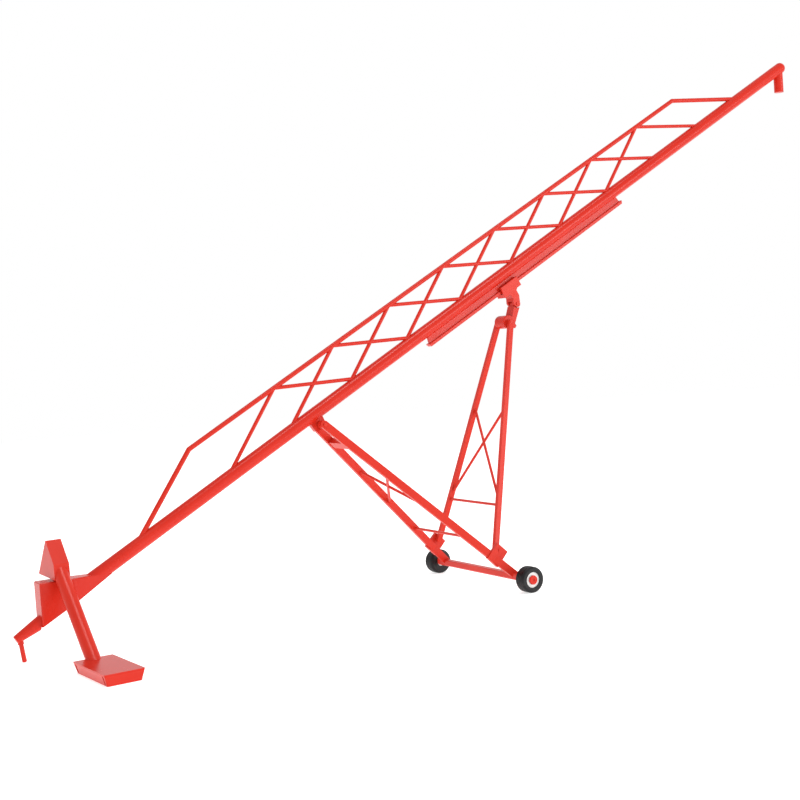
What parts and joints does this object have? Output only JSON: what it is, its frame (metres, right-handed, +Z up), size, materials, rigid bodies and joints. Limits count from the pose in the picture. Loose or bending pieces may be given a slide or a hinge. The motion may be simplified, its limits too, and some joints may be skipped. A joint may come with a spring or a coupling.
{
  "type": "grain auger",
  "caption": "Moulded scale model of a swing-hopper grain auger: long inclined tube with truss bridge, folding wheeled undercarriage and low side hopper.",
  "frame": {"origin": "tip of the hitch pin under the tow tongue, on the ground", "axes": "+X from intake to discharge in the tube's upright middle plane, +Z up, swing hopper on the -Y side"},
  "size_m": [0.3886, 0.0984, 0.2245],
  "materials": {
    "tube_plastic": "glossy moulded red plastic",
    "truss_plastic": "glossy moulded red plastic",
    "frame_plastic": "glossy moulded red plastic",
    "hopper_plastic": "glossy moulded red plastic",
    "tyre_rubber": "black moulded tyre",
    "hub_plastic": "white moulded hub"
  },
  "bodies": {
    "auger": {"main_tube": "tube_plastic", "head_cap": "tube_plastic", "discharge_spout": "tube_plastic", "truss_chord": "truss_plastic", "truss_strut_low": "truss_plastic", "truss_strut_high": "truss_plastic", "truss_web_rising": "truss_plastic", "truss_web_falling": "truss_plastic", "slide_rail_web": "tube_plastic", "slide_rail_flange": "tube_plastic", "frame_pivot_lug": "tube_plastic", "intake_boot": "tube_plastic", "tow_tongue": "tube_plastic", "hitch_pin": "tube_plastic", "swing_pivot_pin": "hopper_plastic"},
    "swing_hopper": {"swing_hood": "hopper_plastic", "swing_tube": "hopper_plastic", "hopper_shell": "hopper_plastic", "hopper_lid": "hopper_plastic"},
    "lower_frame": {"lower_arm_left": "frame_plastic", "lower_arm_right": "frame_plastic", "foot_lug_left": "frame_plastic", "foot_lug_right": "frame_plastic", "stub_axle_left": "frame_plastic", "stub_axle_right": "frame_plastic", "axle_boss_left": "frame_plastic", "axle_boss_right": "frame_plastic", "apex_pin": "frame_plastic", "apex_barrels": "frame_plastic", "cross_plate": "frame_plastic", "lower_brace_long": "frame_plastic", "lower_brace_halves": "frame_plastic", "lower_cross_rod": "frame_plastic", "axle_beam": "frame_plastic"},
    "upper_frame": {"upper_leg_left": "frame_plastic", "upper_leg_right": "frame_plastic", "foot_pin_left": "frame_plastic", "foot_pin_right": "frame_plastic", "upper_brace_long": "frame_plastic", "upper_brace_halves": "frame_plastic", "upper_cross_bar": "frame_plastic"},
    "link": {"link_barrel": "frame_plastic", "link_pin": "frame_plastic", "link_plate": "frame_plastic"},
    "carriage": {"carriage_clip": "frame_plastic", "carriage_ears": "frame_plastic", "slide_pin": "frame_plastic"},
    "wheel_left": {"wheel_hub_left": "hub_plastic", "tyre_left": "tyre_rubber"},
    "wheel_right": {"wheel_hub_right": "hub_plastic", "tyre_right": "tyre_rubber"}
  },
  "joints": [
    {"name": "frame_fold", "type": "hinge", "parent": "auger", "child": "lower_frame", "pos_m": [0.1225, 0, 0.0734], "axis": [0, -1, 0], "range_deg": [-4, 20]},
    {"name": "upper_frame_pivot", "type": "hinge", "parent": "lower_frame", "child": "upper_frame", "pos_m": [0.1871, 0, 0.0169], "axis": [0, -1, 0], "range_deg": [-36, 7.5]},
    {"name": "link_pivot", "type": "hinge", "parent": "upper_frame", "child": "link", "pos_m": [0.2137, 0, 0.1088], "axis": [0, -1, 0], "range_deg": [-13.8, 67]},
    {"name": "carriage_pivot", "type": "hinge", "parent": "link", "child": "carriage", "pos_m": [0.2192, 0, 0.1163], "axis": [0, -1, 0], "range_deg": [-52, 11]},
    {"name": "hopper_swing", "type": "hinge", "parent": "auger", "child": "swing_hopper", "pos_m": [0.0136, 0, 0.03], "axis": [0, 0, 1], "range_deg": [-20, 20]},
    {"name": "wheel_left_spin", "type": "hinge", "parent": "lower_frame", "child": "wheel_left", "pos_m": [0.1937, 0.0354, 0.00526], "axis": [0, 1, 0], "continuous": true},
    {"name": "wheel_right_spin", "type": "hinge", "parent": "lower_frame", "child": "wheel_right", "pos_m": [0.1937, -0.0354, 0.00526], "axis": [0, 1, 0], "continuous": true}
  ],
  "couplings": [
    {"joint": "upper_frame_pivot", "follows": "frame_fold", "ratio": -1.7584},
    {"joint": "link_pivot", "follows": "frame_fold", "ratio": 3.3184},
    {"joint": "carriage_pivot", "follows": "frame_fold", "ratio": -2.56}
  ]
}
